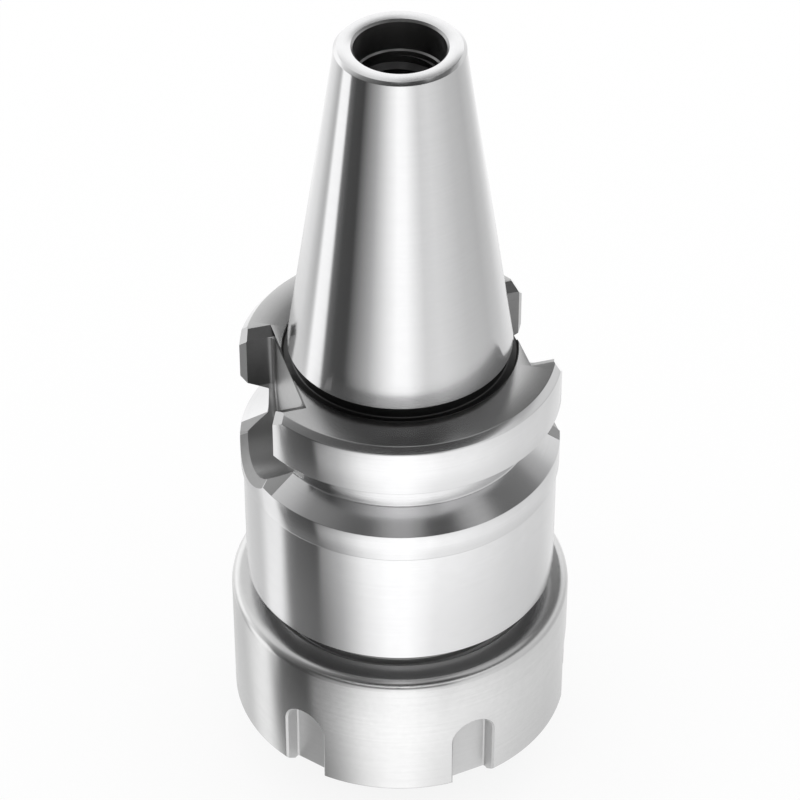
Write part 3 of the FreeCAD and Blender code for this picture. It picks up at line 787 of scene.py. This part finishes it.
def make_collet(finish):
    """Spring collet with slits from both ends."""
    groove = COLLET_LIP_RADIUS - COLLET_GROOVE_DEPTH
    rear_z = COLLET_REAR - COLLET_REAR_CHAMFER
    bore_end = COLLET_FRONT + COLLET_BORE_LENGTH
    corners = [
        (COLLET_BORE_RADIUS + COLLET_BORE_CHAMFER, COLLET_FRONT, SMALL_EDGE),
        (COLLET_FACE_RADIUS, COLLET_FRONT, EDGE),
        (COLLET_LIP_RADIUS, LIP_START, EDGE),
        (COLLET_LIP_RADIUS, COLLET_GROOVE_START, EDGE),
        (groove, COLLET_GROOVE_START, FAIR_EDGE),
        (groove, COLLET_GROOVE_END, FAIR_EDGE),
        (COLLET_LIP_RADIUS, COLLET_GROOVE_END, EDGE),
        (COLLET_RADIUS, LAND_START, EDGE),
        (COLLET_RADIUS, LAND_END, EDGE),
        (collet_cone(rear_z), rear_z, EDGE),
        (collet_cone(COLLET_REAR) - COLLET_REAR_CHAMFER, COLLET_REAR, EDGE),
        (COLLET_BACK_BORE_RADIUS, COLLET_REAR, EDGE),
        (COLLET_BACK_BORE_RADIUS, bore_end, 0.0),
        (COLLET_BORE_RADIUS, bore_end, 0.0),
        (COLLET_BORE_RADIUS, COLLET_FRONT + COLLET_BORE_CHAMFER, SMALL_EDGE),
    ]
    ends = (COLLET_BORE_RADIUS / 2.0, COLLET_RADIUS + CUTTER_SPARE)
    half = SLIT_WIDTH / 2.0

    def slit(name, low, high):
        """Thin slab on +X that slits the wall between two heights."""
        section = [(-half, low), (half, low), (half, high), (-half, high)]
        return prism(name, ends, section, lambda x, y, z: (x, y, z))

    front = slit("front_slit", COLLET_FRONT - CUTTER_SPARE, COLLET_REAR - SLIT_END_WALL)
    rear = slit("rear_slit", COLLET_FRONT + SLIT_END_WALL, COLLET_REAR + CUTTER_SPARE)
    rear.data.transform(Matrix.Rotation(math.pi / SLIT_COUNT, 4, "Z"))
    return turned("spring_collet", corners, [front, rear], SLIT_COUNT, 0.0, finish)


def make_nose_thread(finish):
    """Thread on the holder's nose."""
    start = NOSE_END + NOSE_CHAMFER / 2.0
    turns = (BODY_END - NECK_LENGTH - NOSE_END - NOSE_CHAMFER) / NOSE_THREAD_PITCH
    core = NOSE_THREAD_RADIUS - NOSE_THREAD_DEPTH
    return thread("nose_thread", core, start, turns, NOSE_THREAD_PITCH, NOSE_THREAD_DEPTH, 1, 0.0, finish)


def make_nut_thread(finish):
    """Thread in the nut, half a pitch from the nose's."""
    start = NOSE_END + NUT_THREAD_SETBACK
    turns = (NUT_REAR - NUT_THREAD_LEAD_IN - start) / NOSE_THREAD_PITCH
    lag = NUT_THREAD_SETBACK - NOSE_CHAMFER / 2.0
    phase = 2.0 * math.pi * lag / NOSE_THREAD_PITCH + math.pi
    wall = NOSE_THREAD_RADIUS + NUT_THREAD_CLEARANCE
    return thread("nut_thread", wall, start, turns, NOSE_THREAD_PITCH, NOSE_THREAD_DEPTH, -1, phase, finish)


def make_stud_thread(finish):
    """Thread for the pull stud, in the shank's bore."""
    start = PILOT_FLOOR - STUD_THREAD_LENGTH
    turns = (STUD_THREAD_LENGTH - STUD_THREAD_LEAD_IN) / STUD_THREAD_PITCH
    depth = STUD_THREAD_RADIUS - TAP_RADIUS
    return thread("pull_stud_thread", STUD_THREAD_RADIUS, start, turns, STUD_THREAD_PITCH, depth, -1, 0.0,
                  finish)


# Finishes

def steel(name, colour, roughness, anisotropy, line_size, line_depth, mottle_size, mottle_depth, worn,
          metallic=1.0):
    """Bright steel with fine lines round the axis and a faint mottle."""
    material = bpy.data.materials.new(name)
    material.use_nodes = True
    tree = material.node_tree
    shader = tree.nodes["Principled BSDF"]
    place = add(tree, "ShaderNodeTexCoord").outputs["Object"]
    axes = add(tree, "ShaderNodeSeparateXYZ", {0: place}).outputs
    across = add(tree, "ShaderNodeCombineXYZ", {"X": axes["X"], "Y": axes["Y"]}).outputs[0]
    radius = add(tree, "ShaderNodeVectorMath", {0: across}, operation="LENGTH").outputs["Value"]
    drift = calculate(tree, "MULTIPLY_ADD", axes["X"], LINE_DRIFT[0],
                      calculate(tree, "MULTIPLY", axes["Y"], LINE_DRIFT[1]))
    rings = add(tree, "ShaderNodeCombineXYZ", {
        "X": calculate(tree, "DIVIDE", radius, line_size),
        "Y": calculate(tree, "DIVIDE", axes["Z"], line_size),
        "Z": drift,
    }).outputs[0]
    lines = add(tree, "ShaderNodeTexNoise", {"Vector": rings, **LINE_NOISE}).outputs[0]
    mottle = add(tree, "ShaderNodeTexNoise", {
        "Vector": place, "Scale": 1.0 / mottle_size, **MOTTLE_NOISE,
    }).outputs[0]
    fine = add(tree, "ShaderNodeBump", {"Strength": 1.0, "Distance": line_depth, "Height": lines})
    bumped = add(tree, "ShaderNodeBump", {
        "Strength": 1.0, "Distance": mottle_depth, "Height": mottle, "Normal": fine.outputs[0],
    })
    mottle_wear = calculate(tree, "MULTIPLY", mottle, MOTTLE_WEAR)
    wear = calculate(tree, "MULTIPLY_ADD", lines, LINE_WEAR, mottle_wear)
    shade = ranged(tree, wear, WEAR_RANGE, (1.0 - worn, 1.0))
    dull = [part * WORN_COLOUR for part in colour]
    tint = mixed(tree, shade, (*dull, 1.0), (*colour, 1.0))
    rough = ranged(tree, wear, WEAR_RANGE, [roughness * share for share in ROUGHNESS_RANGE])
    tangent = add(tree, "ShaderNodeTangent", direction_type="RADIAL", axis="Z")
    links = tree.links
    links.new(tint, shader.inputs["Base Color"])
    links.new(rough, shader.inputs["Roughness"])
    links.new(bumped.outputs[0], shader.inputs["Normal"])
    links.new(tangent.outputs[0], shader.inputs["Tangent"])
    shader.inputs["Metallic"].default_value = metallic
    shader.inputs["Anisotropic"].default_value = anisotropy
    shader.inputs["Anisotropic Rotation"].default_value = QUARTER_TURN
    return material


def give_finish(piece, finish, belongs):
    """Gives a second finish to the faces whose centre and normal belong to a zone."""
    piece.data.materials.append(finish)
    slot = len(piece.data.materials) - 1
    for polygon in piece.data.polygons:
        if belongs(polygon.center, polygon.normal):
            polygon.material_index = slot


def in_relief(centre, normal):
    """True in the narrow relief at the foot of the taper, and not on its rounded outer rim."""
    radius = math.hypot(centre.x, centre.y)
    inside = RELIEF_RADIUS - SMALL_EDGE < radius < RELIEF_OUTER_RADIUS + SMALL_EDGE
    on_rim = radius > RELIEF_OUTER_RADIUS and centre.z > FLANGE_TOP - RELIEF_RIM_ROUND
    return inside and not on_rim and FLANGE_TOP - RELIEF_DEPTH - EDGE < centre.z < -TAPER_FOOT_DROP - EDGE


def on_flange_top(centre, normal):
    """True on the flat face that the shank rises from."""
    radius = math.hypot(centre.x, centre.y)
    return centre.z > FLANGE_TOP - SMALL_EDGE and normal.z > FLAT and radius > RELIEF_OUTER_RADIUS


def in_keyway(centre, normal):
    """True on the milled floor, walls and run-out of the two keyways."""
    reach = KEYWAY_WIDTH / 2.0 + KEYWAY_BEVEL + SMALL_EDGE
    if abs(centre.x) < KEYWAY_FLOOR - SMALL_EDGE or abs(centre.y) > reach or centre.z > 0.0:
        return False
    if centre.z > KEYWAY_ARC_CENTRE:
        return True
    return math.hypot(centre.y, centre.z - KEYWAY_ARC_CENTRE) < reach


def on_run_out(centre, normal):
    """True on the round end of a keyway."""
    return centre.z < KEYWAY_ARC_CENTRE and in_keyway(centre, normal) and abs(normal.x) < WALL_LIMIT


def on_keyway_side(centre, normal):
    """True on the walls and the lead-in of a keyway, and not on its floor or its mouth's bevel."""
    wide = KEYWAY_WIDTH / 2.0 + KEYWAY_LEAD_WIDTH
    if centre.z > FLANGE_TOP - KEYWAY_LEAD_DEPTH and abs(centre.x) > KEYWAY_FLOOR and abs(centre.y) < wide:
        return LEAD_IN_TILT[0] < normal.z < LEAD_IN_TILT[1]
    return centre.z > KEYWAY_ARC_CENTRE and in_keyway(centre, normal) and abs(normal.x) < WALL_LIMIT


def in_bore(centre, normal):
    """True on walls that face the axis."""
    return centre.x * normal.x + centre.y * normal.y < -FACING_AXIS * math.hypot(centre.x, centre.y)


def on_nose(centre, normal):
    """True on the outside of the neck and the threaded nose."""
    return centre.z < BODY_END - SMALL_EDGE and not in_bore(centre, normal)


def on_nut_lead_in(centre, normal):
    """True on the slope that leads into the nut's thread."""
    return centre.z > NUT_REAR - NUT_THREAD_LEAD_IN and in_bore(centre, normal)


def in_nut_bore(centre, normal):
    """True on the nut's inner walls below its thread's lead-in."""
    return centre.z < NUT_REAR - NUT_THREAD_LEAD_IN and in_bore(centre, normal)


def in_wrench_slot(centre, normal):
    """True inside the nut's wrench slots."""
    radius = math.hypot(centre.x, centre.y)
    step = 2.0 * math.pi / SLOT_COUNT
    angle = (math.atan2(centre.y, centre.x) - SLOT_ANGLE + step / 2.0) % step - step / 2.0
    across = radius * math.sin(angle)
    reach = SLOT_WIDTH / 2.0 + SLOT_BEVEL + SMALL_EDGE
    if radius * math.cos(angle) < SLOT_FLOOR - SMALL_EDGE or abs(across) > reach:
        return False
    if abs(normal.z) > LEVEL and centre.z < NUT_FRONT + SMALL_EDGE:
        return False
    return centre.z < SLOT_ARC_CENTRE or math.hypot(across, centre.z - SLOT_ARC_CENTRE) < reach


# Studio

def band(tree, azimuth, stops):
    """Shade of one band of the studio at a bearing in degrees, from its stops."""
    share = calculate(tree, "MULTIPLY_ADD", azimuth, 1.0 / 360.0, 0.5)
    ramp = add(tree, "ShaderNodeValToRGB", {0: share})
    elements = ramp.color_ramp.elements
    for index, (degrees, shade) in enumerate(stops):
        place = degrees / 360.0 + 0.5
        element = elements[index] if index < 2 else elements.new(place)
        element.position = place
        element.color = (shade, shade, shade, 1.0)
    return ramp.outputs[0]


def make_studio():
    """White room, with the light and dark screens that bright steel mirrors."""
    world = bpy.data.worlds.new("studio")
    bpy.context.scene.world = world
    world.use_nodes = True
    world.cycles.sampling_method = "NONE"
    tree = world.node_tree
    tree.nodes.clear()
    direction = add(tree, "ShaderNodeTexCoord").outputs["Generated"]
    axes = add(tree, "ShaderNodeSeparateXYZ", {0: direction}).outputs
    away = calculate(tree, "MULTIPLY", axes["Y"], -1.0)
    bearing = calculate(tree, "ARCTAN2", axes["X"], away)
    degrees = calculate(tree, "MULTIPLY_ADD", bearing, math.degrees(1.0), math.degrees(PHOTO_TURN))
    azimuth = calculate(tree, "WRAP", degrees, 180.0, -180.0)
    shade = band(tree, azimuth, SCREENS[0][2])
    for start, full, stops in SCREENS[1:]:
        reached = ranged(tree, axes["Z"], (start, full), (0.0, 1.0))
        shade = mixed(tree, reached, shade, band(tree, azimuth, stops))
    rays = add(tree, "ShaderNodeLightPath").outputs
    bright = add(tree, "ShaderNodeVectorMath", {0: shade, "Scale": SCREEN_STRENGTH}, operation="SCALE")
    seen = mixed(tree, rays["Is Glossy Ray"], WHITE, bright.outputs[0])
    glow = add(tree, "ShaderNodeBackground", {"Color": seen, "Strength": 1.0})
    add(tree, "ShaderNodeOutputWorld", {"Surface": glow.outputs[0]})


def make_floor():
    """Pale floor just under the unscrewed nut, which takes only a soft shadow."""
    level = NUT_FRONT - NUT_TRAVEL - FLOOR_GAP
    half = FLOOR_SIZE / 2.0
    corners = [(x, y, level) for x, y in ((-half, -half), (half, -half), (half, half), (-half, half))]
    floor = new_object("floor", corners, [(0, 1, 2, 3)])
    floor.visible_glossy = False
    material = bpy.data.materials.new("floor_paper")
    material.use_nodes = True
    tree = material.node_tree
    tree.nodes.clear()
    paper = add(tree, "ShaderNodeBsdfDiffuse", {"Color": (1.0 - FLOOR_GLOW,) * 3 + (1.0,)})
    glow = add(tree, "ShaderNodeEmission", {"Color": WHITE, "Strength": FLOOR_GLOW})
    both = add(tree, "ShaderNodeAddShader", {0: paper.outputs[0], 1: glow.outputs[0]})
    add(tree, "ShaderNodeOutputMaterial", {"Surface": both.outputs[0]})
    floor.data.materials.append(material)


def make_camera():
    """Camera at the photo's place, with the photo's framing."""
    data = bpy.data.cameras.new("camera")
    data.lens = CAMERA_LENS
    data.sensor_width = SENSOR_WIDTH
    data.clip_start = CLIP_NEAR
    data.clip_end = CLIP_FAR
    camera = bpy.data.objects.new("camera", data)
    bpy.context.scene.collection.objects.link(camera)
    camera.location = (-CAMERA_DISTANCE * math.sin(PHOTO_TURN), -CAMERA_DISTANCE * math.cos(PHOTO_TURN),
                       CAMERA_HEIGHT)
    camera.rotation_euler = (math.pi / 2.0 - CAMERA_PITCH, 0.0, -PHOTO_TURN)
    bpy.context.scene.camera = camera


TURNING_TREE = make_turning_tree()
THREAD_TREE = make_thread_tree()
finishes = {name: steel(name, **values) for name, values in FINISHES.items()}

holder = make_holder(finishes["bright_ground"])
nut = make_nut(finishes["satin"])
# The ring's and the nut thread's darker steel is painted shade inside the nut
ring = make_extraction_ring(finishes["bored_painted_shade"])
collet = make_collet(finishes["spring"])
# The nose thread's darker, partly dull steel is painted shade of the gap under the body
nose_thread = make_nose_thread(finishes["gap_painted_shade"])
nut_thread = make_nut_thread(finishes["bored_painted_shade"])
# The pull stud thread's near-black steel is painted shade in the bore
stud_thread = make_stud_thread(finishes["painted_shade_recess"])

# Later zones win over earlier ones where they overlap. The darker finishes paint shade into the bores,
# the keyways' walls, lead-ins and round ends, the flange's top, the relief, the nose and the nut's lead-in
for piece, finish, zone in (
    (holder, "bored_painted_shade", in_bore), (holder, "faced_painted_shade", on_flange_top), (holder, "milled_floor", in_keyway),
    (holder, "milled_wall_painted_shade", on_keyway_side), (holder, "run_out_painted_shade", on_run_out),
    (holder, "painted_shade_recess", in_relief), (holder, "gap_painted_shade", on_nose), (nut, "slotted", in_wrench_slot),
    (nut, "bored_painted_shade", in_nut_bore), (nut, "gap_painted_shade", on_nut_lead_in),
):
    give_finish(piece, finishes[finish], zone)

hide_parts("holder_body")
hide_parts("clamping_nut")
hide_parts("collet")
for piece, body, slot in (
    (holder, "holder", "ground_steel"), (nose_thread, "holder", "ground_steel"),
    (stud_thread, "holder", "ground_steel"), (nut, "nut", "nut_steel"), (ring, "nut", "nut_steel"),
    (nut_thread, "nut", "nut_steel"), (collet, "collet_carrier", "collet_steel"),
):
    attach(piece, body)

make_studio()
make_floor()
make_camera()
bpy.context.scene.view_settings.view_transform = "Standard"
